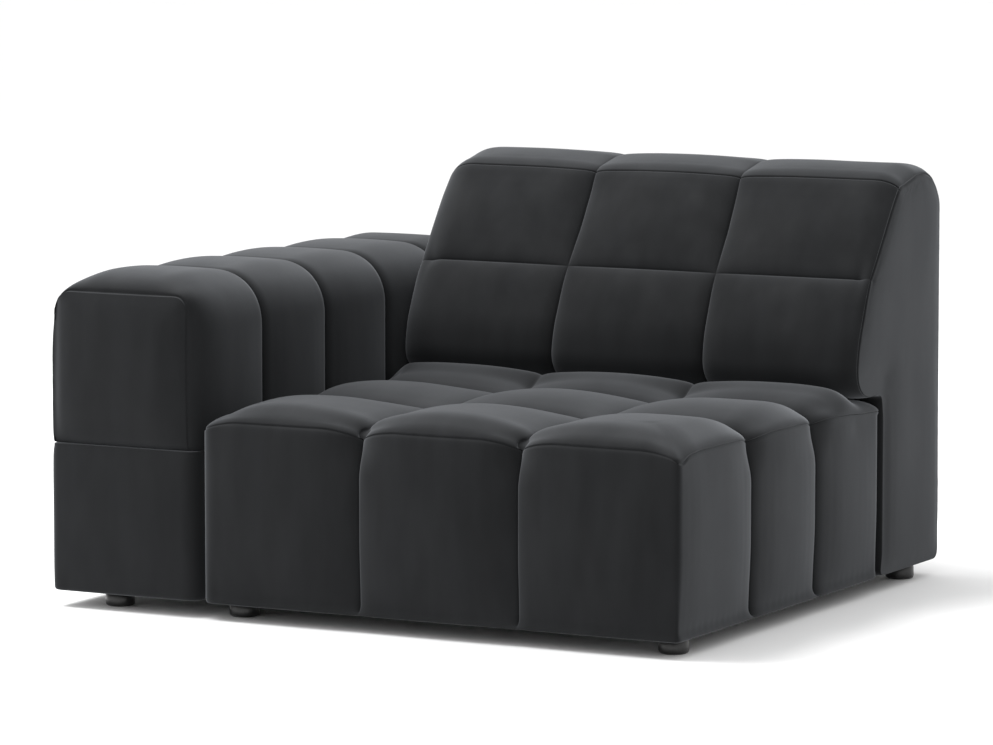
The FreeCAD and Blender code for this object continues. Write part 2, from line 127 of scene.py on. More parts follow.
def cap_lattice(ring, steps_a, steps_b, power):
    """The flat inside of a ring as rows and columns between its four sides."""
    a_side = ring[:steps_a + 1]
    b_side = ring[steps_a:steps_a + steps_b + 1]
    c_side = ring[steps_a + steps_b:2 * steps_a + steps_b + 1][::-1]
    d_side = np.vstack([ring[2 * steps_a + steps_b:], ring[:1]])[::-1]
    a_chord = a_side[-1] - a_side[0]
    alpha = ((a_side - a_side[0]) @ a_chord / (a_chord @ a_chord))[:, None, None]
    d_chord = d_side[-1] - d_side[0]
    beta = np.clip((d_side - d_side[0]) @ d_chord / (d_chord @ d_chord), 0, 1)[None, :, None]
    rows = (1 - alpha) * d_side[None] + alpha * b_side[None]
    a_bend = a_side[:, None] - ((1 - alpha) * a_side[0] + alpha * a_side[-1])
    c_bend = c_side[:, None] - ((1 - alpha) * c_side[0] + alpha * c_side[-1])
    return rows + (1 - beta) ** power * a_bend + beta ** power * c_bend


def shell(outline, inward, steps_a, steps_b, rings, axes, power=1.0):
    """A closed form: rings (place on the axis, share of inward) of the outline, and a lattice at each end.

    Gives its points and quads, and each point's place on the outline and ring's number: -1 inside the ends.
    """
    count = len(outline)
    flat, place, number, quads = [], [], [], []
    for r, (w, share) in enumerate(rings):
        ring = outline + inward * share
        flat.append(np.column_stack([ring, np.full(count, w)]))
        place.append(np.arange(count))
        number.append(np.full(count, r))
    around = np.arange(count)
    following = (around + 1) % count
    for r in range(len(rings) - 1):
        low, high = r * count, (r + 1) * count
        quads.append(np.column_stack([around + low, following + low, following + high, around + high]))
    size = len(rings) * count
    for end in (0, len(rings) - 1):
        w, share = rings[end]
        lattice = cap_lattice(outline + inward * share, steps_a, steps_b, power)
        index = np.full((steps_a + 1, steps_b + 1), -1)
        base = end * count
        index[:, 0] = base + np.arange(steps_a + 1)
        index[-1, :] = base + steps_a + np.arange(steps_b + 1)
        index[::-1, -1] = base + steps_a + steps_b + np.arange(steps_a + 1)
        left = 2 * steps_a + steps_b + np.arange(steps_b + 1)
        index[0, ::-1] = base + np.mod(left, count)
        inside = lattice[1:-1, 1:-1].reshape(-1, 2)
        index[1:-1, 1:-1] = size + np.arange(len(inside)).reshape(steps_a - 1, steps_b - 1)
        size += len(inside)
        flat.append(np.column_stack([inside, np.full(len(inside), w)]))
        place.append(np.full(len(inside), -1))
        number.append(np.full(len(inside), -1))
        faces = np.stack([index[:-1, :-1], index[1:, :-1], index[1:, 1:], index[:-1, 1:]], -1).reshape(-1, 4)
        quads.append(faces if end else faces[:, ::-1])
    flat = np.vstack(flat)
    points = np.empty_like(flat)
    for source, axis in enumerate(axes):
        points[:, axis] = flat[:, source]
    return points, np.vstack(quads), np.concatenate(place), np.concatenate(number)


def rect_outline(u_lines, v_lines, radii):
    """A rectangle's outline, its corners rounded by radii: low-low, high-low, high-high, low-high."""
    u0, u1, v0, v1 = u_lines[0], u_lines[-1], v_lines[0], v_lines[-1]
    bottom = np.column_stack([u_lines[:-1], np.full(len(u_lines) - 1, v0)])
    right = np.column_stack([np.full(len(v_lines) - 1, u1), v_lines[:-1]])
    top = np.column_stack([u_lines[:0:-1], np.full(len(u_lines) - 1, v1)])
    left = np.column_stack([np.full(len(v_lines) - 1, u0), v_lines[:0:-1]])
    points = np.vstack([bottom, right, top, left])
    signs = ((u0, v0, 1, 1), (u1, v0, -1, 1), (u1, v1, -1, -1), (u0, v1, 1, -1))
    for (u, v, su, sv), radius in zip(signs, radii):
        a = radius - (points[:, 0] - u) * su
        b = radius - (points[:, 1] - v) * sv
        near = (a > 0) & (b > 0)
        scale = np.maximum(a, b)[near] / np.hypot(a, b)[near]
        points[near, 0] = u + su * (radius - a[near] * scale)
        points[near, 1] = v + sv * (radius - b[near] * scale)
    return points


def toward_core(points, core, radius=0.1 * MM):
    """The way from each outline point to the nearest of a round-cornered core (u0, u1, v0, v1)."""
    u0, u1, v0, v1 = core
    base = np.column_stack([np.clip(points[:, 0], u0 + radius, u1 - radius),
                            np.clip(points[:, 1], v0 + radius, v1 - radius)])
    away = points - base
    return base + away / np.linalg.norm(away, axis=1)[:, None] * radius - points


# ---------------------------------------------------------------- profiles across a cell

def rise(distance, width, power=2.0):
    """From 0 at a crease to 1 at width from it, steep at first like a stuffed cell's flank."""
    t = np.clip(distance / width, 0, 1)
    return (1 - (1 - t) ** power) ** (1 / power)


def nearest(values, places):
    return np.min([abs(values - p) for p in places], axis=0)


def tuft(distance, from_edge, half, rim, dome):
    """A stuffed cell's height: a tight rim at the crease, and a share of wide dome from the cell's edge."""
    t = np.clip(from_edge / half, 0, 1)
    return (1 - dome) * rise(distance, rim) + dome * (1 - (1 - t) ** 2)


def cell(distance, half, rim, dome):
    """A tuft whose dome starts at the crease."""
    return tuft(distance, distance, half, rim, dome)


def smooth(t):
    t = np.clip(t, 0, 1)
    return t * t * (3 - 2 * t)


def ramp(values, low, high):
    """A smooth step from 0 at low mm to 1 at high mm; high may be the lower of the two."""
    return smooth((values - low * MM) / ((high - low) * MM))


def pinch(distance, depth, width):
    return depth * np.exp(-((distance / width) ** 2))


# ---------------------------------------------------------------- materials

def new_material(name):
    material = bpy.data.materials.new(name)
    material.use_nodes = True
    tree = material.node_tree
    return material, tree, tree.nodes["Principled BSDF"]


def add_node(tree, kind, **inputs):
    node = tree.nodes.new(kind)
    for key, value in inputs.items():
        node.inputs[key.replace("_", " ")].default_value = value
    return node


def grey(value, tint=(1.0, 1.0, 1.0)):
    return (value * tint[0], value * tint[1], value * tint[2], 1)


def noise_colours(tree, scale, stretch, low, high, detail):
    """Noise in object space, stretched, and the same as a colour between low and high."""
    place = tree.nodes.new("ShaderNodeTexCoord")
    mapping = tree.nodes.new("ShaderNodeMapping")
    mapping.inputs["Scale"].default_value = stretch
    noise = add_node(tree, "ShaderNodeTexNoise", Scale=scale, Detail=detail)
    colours = tree.nodes.new("ShaderNodeValToRGB")
    colours.color_ramp.elements[0].position, colours.color_ramp.elements[0].color = 0.3, low
    colours.color_ramp.elements[1].position, colours.color_ramp.elements[1].color = 0.7, high
    tree.links.new(place.outputs["Object"], mapping.inputs["Vector"])
    tree.links.new(mapping.outputs["Vector"], noise.inputs["Vector"])
    tree.links.new(noise.outputs["Fac"], colours.inputs["Fac"])
    return noise, colours


VELVET_TINT = (0.93, 0.98, 1.06)
VELVET_SHEEN_TINT = (0.90, 0.94, 1.0, 1)
VELVET_SHEEN_ROUGHNESS = 0.47
VELVET_SPECULAR = 0.12
NAP_SCALE, NAP_STRETCH = 9.0, (3.2, 3.2, 0.7)
MOTTLE_SCALE, MOTTLE_DARK, MOTTLE_LIGHT = 5.0, 0.86, 1.12
ROUGHNESS_SCALE, ROUGHNESS_STRETCH, SMOOTHEST, ROUGHEST = 14.0, (1, 1, 0.5), 0.78, 0.92
PILE_SCALE, PILE_STRETCH, PILE_RELIEF, PILE_HEIGHT = 900.0, (1, 1, 0.55), 0.12, 0.0006


def velvet(name, dark, light, sheen):
    """Short-pile velvet: nap streaks down the cloth, soft mottling and a fine pile."""
    material, tree, shader = new_material(name)
    low, high = grey(dark, VELVET_TINT), grey(light, VELVET_TINT)
    _, streaks = noise_colours(tree, NAP_SCALE, NAP_STRETCH, low, high, 4.0)
    _, mottle = noise_colours(tree, MOTTLE_SCALE, (1, 1, 1), grey(MOTTLE_DARK), grey(MOTTLE_LIGHT), 3.0)
    blend = tree.nodes.new("ShaderNodeMix")
    blend.data_type, blend.blend_type = "RGBA", "MULTIPLY"
    blend.inputs[0].default_value = 1.0
    tree.links.new(streaks.outputs["Color"], blend.inputs[6])
    tree.links.new(mottle.outputs["Color"], blend.inputs[7])
    tree.links.new(blend.outputs[2], shader.inputs["Base Color"])
    low, high = grey(SMOOTHEST), grey(ROUGHEST)
    _, roughness = noise_colours(tree, ROUGHNESS_SCALE, ROUGHNESS_STRETCH, low, high, 2.0)
    tree.links.new(roughness.outputs["Color"], shader.inputs["Roughness"])
    pile, _ = noise_colours(tree, PILE_SCALE, PILE_STRETCH, grey(0), grey(1), 2.0)
    bump = add_node(tree, "ShaderNodeBump", Strength=PILE_RELIEF, Distance=PILE_HEIGHT)
    tree.links.new(pile.outputs["Fac"], bump.inputs["Height"])
    tree.links.new(bump.outputs["Normal"], shader.inputs["Normal"])
    shader.inputs["Sheen Weight"].default_value = sheen
    shader.inputs["Sheen Roughness"].default_value = VELVET_SHEEN_ROUGHNESS
    shader.inputs["Sheen Tint"].default_value = VELVET_SHEEN_TINT
    shader.inputs["Specular IOR Level"].default_value = VELVET_SPECULAR
    return material


def simple(name, low, high, scale, stretch=(1, 1, 1), roughness=0.7, metallic=0.0, bump=0.1, distance=0.0004,
           specular=0.5):
    """A material with grain: colour from stretched noise and a bump from the same noise."""
    material, tree, shader = new_material(name)
    noise, colours = noise_colours(tree, scale, stretch, low, high, 4.0)
    tree.links.new(colours.outputs["Color"], shader.inputs["Base Color"])
    relief = add_node(tree, "ShaderNodeBump", Strength=bump, Distance=distance)
    tree.links.new(noise.outputs["Fac"], relief.inputs["Height"])
    tree.links.new(relief.outputs["Normal"], shader.inputs["Normal"])
    shader.inputs["Roughness"].default_value = roughness
    shader.inputs["Metallic"].default_value = metallic
    shader.inputs["Specular IOR Level"].default_value = specular
    return material


VELVET = velvet("velvet_charcoal", 0.0050, 0.0080, 0.26)
# Seam thread, near-black and without shine, darker than the velvet: partly the thread, partly painted shade
# in each seam's groove.
THREAD_AND_SEAM_SHADE = simple("seam_thread_painted_shade", grey(0.0015), grey(0.003), 600, roughness=1.0, bump=0.4, specular=0.02)
DUST_CLOTH = simple("dust_cloth", grey(0.010), grey(0.024), 420, roughness=0.95, bump=0.5, distance=0.0006)
FOAM = simple("foam", (0.62, 0.55, 0.30, 1), (0.72, 0.66, 0.42, 1), 700, roughness=0.95, bump=0.5)
PAD = simple("fibre_pad", grey(0.62), grey(0.82), 260, roughness=0.95, bump=0.6, distance=0.001)
FELT = simple("felt", (0.20, 0.20, 0.22, 1), (0.36, 0.35, 0.34, 1), 320, roughness=0.95, bump=0.5)
WEBBING = simple("webbing", (0.025, 0.02, 0.016, 1), (0.09, 0.07, 0.05, 1), 90, (1, 12, 12), roughness=0.8,
                 bump=0.4)
PLYWOOD = simple("plywood", (0.48, 0.33, 0.19, 1), (0.66, 0.49, 0.31, 1), 22, (1, 9, 1), roughness=0.6)
PINE = simple("pine", (0.56, 0.38, 0.20, 1), (0.76, 0.57, 0.35, 1), 16, (1, 10, 10), roughness=0.6)
BOARD = simple("fibreboard", (0.27, 0.18, 0.10, 1), (0.36, 0.25, 0.15, 1), 300, roughness=0.7)
ZINC = simple("zinc_steel", grey(0.48), grey(0.66), 60, (1, 1, 8), roughness=0.35, metallic=1.0)
BRASS = simple("insert_brass", (0.60, 0.44, 0.18, 1), (0.74, 0.58, 0.28, 1), 60, roughness=0.3, metallic=1.0)
PLASTIC = simple("foot_plastic", grey(0.007), grey(0.013), 240, roughness=0.32, bump=0.06, distance=0.0002)

SLOT_LOOKS = {"velvet": VELVET, "dust_cloth": DUST_CLOTH, "foam": FOAM, "fibre_pad": PAD, "felt": FELT,
              "webbing": WEBBING, "plywood": PLYWOOD, "pine": PINE, "fibreboard": BOARD, "zinc_steel": ZINC,
              "insert_brass": BRASS, "foot_plastic": PLASTIC}


# ---------------------------------------------------------------- making pieces

def make_piece(name, points, faces, material, subdivide=1):
    mesh = bpy.data.meshes.new(name)
    mesh.from_pydata(points.tolist(), [], faces)
    mesh.polygons.foreach_set("use_smooth", [True] * len(mesh.polygons))
    mesh.materials.append(material)
    mesh.update()
    piece = bpy.data.objects.new(name, mesh)
    bpy.context.scene.collection.objects.link(piece)
    if subdivide:
        finer = piece.modifiers.new("finer", "SUBSURF")
        finer.levels = finer.render_levels = subdivide
    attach(piece, "root")
    return piece


def curve_piece(name, lines, radius, resolution, material, closed=False):
    """Tubes along lines of points, as one piece."""
    curve = bpy.data.curves.new(name, "CURVE")
    curve.dimensions = "3D"
    curve.bevel_depth = radius
    curve.bevel_resolution = resolution
    for line in lines:
        spline = curve.splines.new("POLY")
        spline.points.add(len(line) - 1)
        for target, point in zip(spline.points, line):
            target.co = (*point, 1)
        spline.use_cyclic_u = closed
    curve.materials.append(material)
    piece = bpy.data.objects.new(name, curve)
    bpy.context.scene.collection.objects.link(piece)
    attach(piece, "root")


def thread_and_shade_line(name, points, closed=False):
    """A sewn seam's sunken line: a thin near-black tube along a line of the cover's own points, darker than
    the cloth and without shine, so that besides the thread it paints the shade in the seam's groove.
    """
    curve_piece(name, [points], 0.7 * MM, 1, THREAD_AND_SEAM_SHADE, closed)


PRESSURE, SLACK, CLOTH_FRAMES = 4.0, 0.001, 20
EVENING_ROUNDS = 10
CARRIED_FROM = 6


def evened(values, quads, held):
    """Values averaged between neighbouring points, so that only the broad swelling stays."""
    starts, ends = quads.ravel(), np.roll(quads, -1, axis=1).ravel()
    neighbours = np.maximum(np.bincount(starts, minlength=len(values)), 1)[:, None]
    for _ in range(EVENING_ROUNDS):
        total = np.zeros_like(values)
        np.add.at(total, starts, values[ends])
        values = 0.5 * values + 0.5 * total / neighbours
        values[held] = 0
    return values


def swollen(points, quads, held, cap):
    """How far each point of a closed cover moves when stuffing presses on it, held where it is sewn."""
    mesh = bpy.data.meshes.new("pressed")
    mesh.from_pydata(points.tolist(), [], quads.tolist())
    mesh.update()
    pressed = bpy.data.objects.new("pressed", mesh)
    scene = bpy.context.scene
    scene.collection.objects.link(pressed)
    sewn = pressed.vertex_groups.new(name="sewn")
    sewn.add(np.flatnonzero(held).tolist(), 1.0, "REPLACE")
    cloth = pressed.modifiers.new("cloth", "CLOTH")
    settings = cloth.settings
    settings.quality = 5
    settings.mass = 0.3
    settings.tension_stiffness = settings.compression_stiffness = 15
    settings.shear_stiffness = 5
    settings.bending_stiffness = 0.5
    settings.vertex_group_mass = "sewn"
    settings.use_pressure = True
    settings.uniform_pressure_force = PRESSURE
    settings.shrink_min = -SLACK
    settings.effector_weights.gravity = 0
    cloth.point_cache.frame_start, cloth.point_cache.frame_end = 1, CLOTH_FRAMES
    for number in range(1, CLOTH_FRAMES + 1):
        scene.frame_set(number)
    result = pressed.evaluated_get(bpy.context.evaluated_depsgraph_get())
    after = np.empty(len(points) * 3)
    result.data.vertices.foreach_get("co", after)
    bpy.data.objects.remove(pressed)
    bpy.data.meshes.remove(mesh)
    scene.frame_set(1)
    moved = after.reshape(-1, 3) - points
    reach = np.maximum(np.linalg.norm(moved, axis=1), 1e-9)
    return evened(moved * (cap * np.tanh(reach / cap) / reach)[:, None], quads, held)


def carried(coarse, moved, fine):
    """The coarse points' moves, handed on to the fine points near them."""
    if not moved.any():
        return np.zeros_like(fine)
    tree = KDTree(len(coarse))
    for i, point in enumerate(coarse):
        tree.insert(point, i)
    tree.balance()
    total = np.empty_like(fine)
    for i, point in enumerate(fine):
        found = tree.find_n(point, CARRIED_FROM)
        weights = np.array([1 / (distance + 1 * MM) ** 2 for _, _, distance in found])
        total[i] = weights @ moved[[index for _, index, _ in found]] / weights.sum()
    return total


def box_of(*nodes):
    lows, highs = zip(*(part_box(n) for n in nodes))
    return np.min(lows, axis=0), np.max(highs, axis=0)


# ---------------------------------------------------------------- the seat

COLUMN_CREASES = mm(3, 311)
ROW_CREASES = mm(-244, 18)
ARM_CREASES = mm(-309, -85, 139, 363)
COLUMN_HALF = 154 * MM
SEAM_PINCH = 3.2 * MM

SEAT_SEAM = 340 * MM
SEAT_CORNERS = mm(22, 7, 26, 4)
SEAT_CORNERS_ABOVE = mm(60, 75, 26, 4)
CORE_LEFT, CORE_RIGHT, CORE_FRONT, CORE_REAR, SEAT_CORE_RADIUS = mm(55, 88, 88, 70, 85)
SEAT_BOTTOM_RINGS = ((0.0, 0.24), (0.0, 0.10), (0.3, 0.03), (1.8, 0.01), (5, 0.0))
SEAT_CROWN_TURN = np.radians([2, 5, 9, 14, 20, 26, 33, 40, 47, 54, 61, 68, 75, 82, 90])
SEAT_CROWN_INWARD = 0.8
SEAT_SIDE_ROW_HALF, SEAT_TOP_ROW_HALF = mm(134, 131)
SEAT_SIDE_DEPTH, SEAT_SHOULDER_DEPTH = 13, 19
SEAT_SIDE_RIM, SEAT_SHOULDER_RIM = 30, 26
SEAT_TOP_DEPTH, SEAT_TOP_RIM = mm(34, 30)
SEAT_SIDE_DOME, SEAT_COLUMN_DOME, SEAT_ROW_DOME = 0.3, 0.66, 0.72
UNDER_NOSE = 357

seat_low, seat_high = box_of("seat_top_cover", "seat_border_cover", "seat_plain_cover")


def seat_seam_lift(x, y):
    """How far the top seam stands from its middle height: higher in the middle of a cell."""
    across = np.clip(nearest(x, (seat_low[0], *COLUMN_CREASES, seat_high[0])) / (75 * MM), 0, 1)
    back = np.clip(nearest(y, (seat_low[1], *ROW_CREASES, seat_high[1])) / (90 * MM), 0, 1)
    front = ramp(y - seat_low[1], 40, 10)
    front_lift = 19 * MM * front * rise(across, 1, 1.7)
    side_lift = 14 * MM * (1 - front) * rise(back, 1, 1.7)
    return front_lift + side_lift - 10 * MM


def seat_points(**mesh):
    x_lines = gathered(seat_low[0], seat_high[0], COLUMN_CREASES, **mesh)
    y_lines = gathered(seat_low[1], seat_high[1], ROW_CREASES, **mesh)
    outline = rect_outline(x_lines, y_lines, SEAT_CORNERS)
    core = (seat_low[0] + CORE_LEFT, seat_high[0] - CORE_RIGHT,
            seat_low[1] + CORE_FRONT, seat_high[1] - CORE_REAR)
    inward = toward_core(outline, core, SEAT_CORE_RADIUS)
    rings = [(seat_low[2] + z * MM, share) for z, share in SEAT_BOTTOM_RINGS]
    side_mesh = {"fine": 2.2 * MM, **mesh}
    rings += [(z, 0.0) for z in gathered(seat_low[2] + 14 * MM, SEAT_SEAM, (SEAT_SEAM,), **side_mesh)]
    seam_ring = len(rings) - 1
    drop = seat_high[2] - SEAT_SEAM
    for angle in SEAT_CROWN_TURN:
        rings.append((SEAT_SEAM + drop * math.sin(angle), SEAT_CROWN_INWARD * (1 - math.cos(angle))))
    points, quads, place, ring = shell(outline, inward, len(x_lines) - 1, len(y_lines) - 1, rings, (0, 1, 2))
    softer = rect_outline(x_lines, y_lines, SEAT_CORNERS_ABOVE) - outline
    above = np.clip((points[:, 2] - SEAT_SEAM) / drop, 0, 1)
    above = 2 * above * np.sqrt(1 - above ** 2) * (place >= 0)
    points[:, :2] += softer[place] * (0.75 * above ** 0.7)[:, None]
    near = np.clip(1 - abs(points[:, 2] - SEAT_SEAM) / (50 * MM), 0, 1) * (place >= 0)
    points[:, 2] += seat_seam_lift(points[:, 0], points[:, 1]) * smooth(near)
    return points, quads, ring == seam_ring


def seat_shape(points, quads, on_seam):
    """Cells, channels, seam and crown, then the top pressed flat under the back's nose."""
    x, y, z = points.T
    top = ramp(z, 335, 385)
    shoulder = ramp(z, 265, 340)
    column, row = nearest(x, COLUMN_CREASES), nearest(y, ROW_CREASES)
    open_end = (80 + 60 * ramp(y, 60, 120)) * MM
    from_sides = np.minimum.reduce([column, x - seat_low[0] + 20 * MM, seat_high[0] - x + open_end])
    from_ends = np.minimum(row, y - seat_low[1] + 70 * MM)
    rim = (SEAT_SIDE_RIM + SEAT_SHOULDER_RIM * shoulder) * MM
    side = cell(column, COLUMN_HALF, rim, SEAT_SIDE_DOME) * cell(row, SEAT_SIDE_ROW_HALF, rim, SEAT_SIDE_DOME)
    crown = tuft(column, from_sides, COLUMN_HALF, SEAT_TOP_RIM, SEAT_COLUMN_DOME)
    crown = crown * tuft(row, from_ends, SEAT_TOP_ROW_HALF, SEAT_TOP_RIM, SEAT_ROW_DOME)
    open_side = ramp(x - seat_low[0], 0, 30) * ramp(seat_high[1] - y, 0, 30)
    open_side = open_side * ramp(z - seat_low[2], -0.2, 3.8)
    flank = (SEAT_SIDE_DEPTH + SEAT_SHOULDER_DEPTH * shoulder) * MM
    before_back = 1 - ramp(y, 90, 150)
    near_back = 0.4 + 0.6 * before_back
    lowered = (6 + 4 * ramp(COLUMN_CREASES[0] - x, 0, 100)) * MM
    tucked = 5 * MM * ramp(z, 170, 30) * (z > seat_low[2] + 5 * MM)
    amount = -flank * (1 - side) * (1 - top) * open_side - SEAT_TOP_DEPTH * (1 - crown) * top * near_back
    amount = amount - lowered * top * before_back - SEAM_PINCH * on_seam - tucked * open_side
    moved = points + normals_of(points, quads) * amount[:, None]

    right_end = ramp(x - seat_high[0], -130, -20)
    under = ramp(y, 140 - 14 * right_end, 195 + 11 * right_end)
    low_seam = SEAT_SEAM - 12 * MM
    high = moved[:, 2] > low_seam
    pressed = (UNDER_NOSE + 4 * right_end) * MM
    squash = 1 - under * (1 - (pressed - low_seam) / (seat_high[2] - low_seam))
    moved[high, 2] = (low_seam + (moved[:, 2] - low_seam) * squash)[high]
    from_side = seat_high[0] - moved[:, 0]
    rear = ramp(y, 30, 130)
    moved[high, 0] += (0.55 * rear * from_side * (1 - ramp(from_side, 0, 130)))[high]
    rounded = 6 * MM * rear * (1 - ramp(from_side, 0, 120)) * ramp(moved[:, 2] - low_seam, 0, 25)
    moved[high, 2] -= rounded[high]
    return moved


def seat_pressed():
    points, quads, on_seam = seat_points(**COARSE)
    shaped = seat_shape(points, quads, on_seam)
    x, y, z = points.T
    sewn = (nearest(x, COLUMN_CREASES) < 5 * MM) | (nearest(y, ROW_CREASES) < 5 * MM) | on_seam
    corner = (x > seat_high[0] - 8 * MM) & (y < seat_low[1] + 8 * MM)
    hidden = (x < seat_low[0] + 10 * MM) | ((y > 150 * MM) & (z > 300 * MM)) | (y > seat_high[1] - 20 * MM)
    return shaped, swollen(shaped, quads, sewn | corner | hidden | (z < seat_low[2] + 12 * MM), 6 * MM)


points, quads, on_seam = seat_points()
points = seat_shape(points, quads, on_seam)
points += carried(*seat_pressed(), points)
seat_cover = make_piece("seat_cover", points, quads.tolist(), VELVET)
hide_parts("seat_top_cover", "seat_border_cover", "seat_plain_cover", "seat_cell_pads",
            "seat_front_pads", "seat_side_pads", "seat_foam_core")
thread_and_shade_line("seat_top_seam", points[on_seam], closed=True)


# ---------------------------------------------------------------- the arm

ARM_END_CROWN = 9 * MM
ARM_REACH = 96 * MM
ARM_SPAN = 150 * MM
ARM_CORNERS = mm(3, 95, 95, 3)
ARM_END_CORNERS = mm(3, 36, 24, 3)
ARM_END_TURN = np.radians([0, 8, 16, 24, 32, 40, 47, 54, 61, 68, 75, 82, 90])
ARM_CHANNEL_HALF, ARM_CHANNEL_RIM, ARM_CHANNEL_DEPTH = mm(112, 19, 14)
ARM_SEAM_PINCH = 3.0 * MM
BAND_PINCH, BAND_PINCH_WIDTH = mm(2.4, 10)
BAND_CORNERS = mm(10, 28, 28, 10)
BAND_CORE_INSET = 40 * MM
BAND_BOTTOM_RINGS = ((0.0, 0.6), (0.0, 0.3), (0.0, 0.12), (1.5, 0.04), (5, 0.0))

arm_low, arm_high = box_of("arm_channel_cover", "arm_end_covers")
band_low, band_high = box_of("arm_base_cover")


def rescaled(lines, low, high):
    return low + (lines - lines[0]) * (high - low) / (lines[-1] - lines[0])


def arm_points(**mesh):
    """The arm over its band: its section along it, narrowing to a smaller flat end at front and rear."""
    z_lines = gathered(arm_low[2], arm_high[2], (arm_low[2],), **{"fine": 2.5 * MM, **mesh})
    x_lines = gathered(arm_low[0], arm_high[0], **mesh)
    outline = rect_outline(z_lines, x_lines, ARM_CORNERS)
    end_z = rescaled(z_lines, arm_low[2], arm_high[2] - 35 * MM)
    end_x = rescaled(x_lines, arm_low[0] + 1 * MM, arm_high[0] - 32 * MM)
    end_line = rect_outline(end_z, end_x, ARM_END_CORNERS)
    end_line[:, 1] += 5 * MM * ramp(end_line[:, 0], 450, 530) * (end_line[:, 1] < arm_low[0] + 60 * MM)
    inward = end_line - outline
    outer = ramp(outline[:, 1] - arm_low[0], 70, 10)
    inner = ramp(outline[:, 1] - arm_high[0], -70, -10)
    front, rear = arm_low[1] + ARM_END_CROWN, arm_high[1] - ARM_END_CROWN
    rings = [(front, 1.03), (front, 1.01)]
    rings += [(front + ARM_REACH * (1 - math.sin(a)), 1 - math.cos(a)) for a in ARM_END_TURN[:0:-1]]
    rings += [(y, 0.0) for y in gathered(front + ARM_REACH, rear - ARM_REACH, ARM_CREASES, **mesh)]
    rings += [(rear - ARM_REACH * (1 - math.sin(a)), 1 - math.cos(a)) for a in ARM_END_TURN[1:]]
    last = len(rings) - 1
    rings += [(rear, 1.01), (rear, 1.03)]
    points, quads, place, ring = shell(outline, inward, len(z_lines) - 1, len(x_lines) - 1, rings, (2, 0, 1))
    squeeze = np.append(0.55 * outer + 0.4 * inner, 0)[place] * (place >= 0)
    for end, sign in ((front, 1), (rear, -1)):
        away = np.clip((points[:, 1] - end) * sign, 0, ARM_SPAN)
        points[:, 1] -= sign * away * squeeze * (1 - smooth(away / ARM_SPAN))
    sewn_side = place < len(z_lines) - 1 + len(x_lines) - 1 + 2
    seams = [(ring == number) & sewn_side for number in (2, last)]
    return points, quads, ring, seams


def arm_shape(points, quads, ring, seams):
    """Channels along the arm, bulging flat ends, and the band seam's pinch at the bottom."""
    x, y, z = points.T
    channel = cell(nearest(y, ARM_CREASES), ARM_CHANNEL_HALF, ARM_CHANNEL_RIM, 0.5)
    amount = -ARM_CHANNEL_DEPTH * (1 - channel) * ramp(z - arm_low[2], -30, 10)
    bottom = z - arm_low[2]
    on_end = (ring < 2) | (ring > ring.max() - 2)
    edge = np.minimum.reduce([x - arm_low[0] - 12 * MM, arm_high[0] - 30 * MM - x, arm_high[2] - 30 * MM - z])
    bulge = rise(np.clip(edge, 0, None), 80 * MM) * rise(np.clip(bottom, 0, None), 40 * MM)
    amount = np.where(on_end, (ARM_END_CROWN - 1 * MM) * bulge, amount)
    amount = amount - ARM_SEAM_PINCH * (seams[0] | seams[1])
    normals = normals_of(points, quads)
    moved = points + normals * amount[:, None]
    at_band = pinch(bottom, BAND_PINCH, BAND_PINCH_WIDTH) * (bottom > -1e-6)
    moved[:, :2] -= normals[:, :2] * at_band[:, None]
    toward_rear = (y - arm_low[1]) / (arm_high[1] - arm_low[1])
    moved[:, 2] += (9 - 8 * toward_rear) * MM * ramp(z, 430, 570)
    return moved


def arm_pressed():
    points, quads, ring, seams = arm_points(**COARSE)
    shaped = arm_shape(points, quads, ring, seams)
    sewn = (nearest(points[:, 1], ARM_CREASES) < 4 * MM) | seams[0] | seams[1]
    return shaped, swollen(shaped, quads, sewn | (points[:, 2] < arm_low[2] + 8 * MM), 5 * MM)


points, quads, ring, arm_seams = arm_points()
points = arm_shape(points, quads, ring, arm_seams)
points += carried(*arm_pressed(), points)
arm_cover = make_piece("arm_upper_cover", points, quads.tolist(), VELVET)
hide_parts("arm_channel_cover", "arm_end_covers", "arm_top_pads", "arm_outer_pads",
            "arm_inner_pads", "arm_end_foams", "arm_top_foam")
for end_name, seam in zip(("front", "rear"), arm_seams):
    thread_and_shade_line("arm_" + end_name + "_seam", points[seam])


def band_points(**mesh):
    x_lines = gathered(band_low[0], band_high[0], **mesh)
    y_lines = gathered(band_low[1], band_high[1], **mesh)
    outline = rect_outline(x_lines, y_lines, BAND_CORNERS)
    core = (band_low[0] + BAND_CORE_INSET, band_high[0] - BAND_CORE_INSET,
            band_low[1] + BAND_CORE_INSET, band_high[1] - BAND_CORE_INSET)
    inward = toward_core(outline, core)
    under_seam = band_high[2] - 0.5 * MM
    side_mesh = {"fine": 2.5 * MM, **mesh}
    rings = [(band_low[2] + z * MM, share) for z, share in BAND_BOTTOM_RINGS]
    rings += [(z, 0.0) for z in gathered(band_low[2] + 12 * MM, under_seam, (under_seam,), **side_mesh)]
    rings += [(band_high[2], 0.3)]
    points, quads, _, _ = shell(outline, inward, len(x_lines) - 1, len(y_lines) - 1, rings, (0, 1, 2))
    return points, quads


def band_shape(points, quads):
    at_seam = pinch(band_high[2] - points[:, 2], BAND_PINCH, BAND_PINCH_WIDTH)
    moved = points.copy()
    moved[:, :2] -= normals_of(points, quads)[:, :2] * at_seam[:, None]
    return moved


def band_pressed():
    points, quads = band_points(**COARSE)
    shaped = band_shape(points, quads)
    x, _, z = points.T
    sewn = (z > band_high[2] - 8 * MM) | (z < band_low[2] + 8 * MM) | (x > band_high[0] - 3 * MM)
    return shaped, swollen(shaped, quads, sewn, 4 * MM)


points, quads = band_points()
points = band_shape(points, quads)
points += carried(*band_pressed(), points)
band_cover = make_piece("arm_band_cover", points, quads.tolist(), VELVET)
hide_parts("arm_base_cover", "arm_base_foam")


# ---------------------------------------------------------------- the back

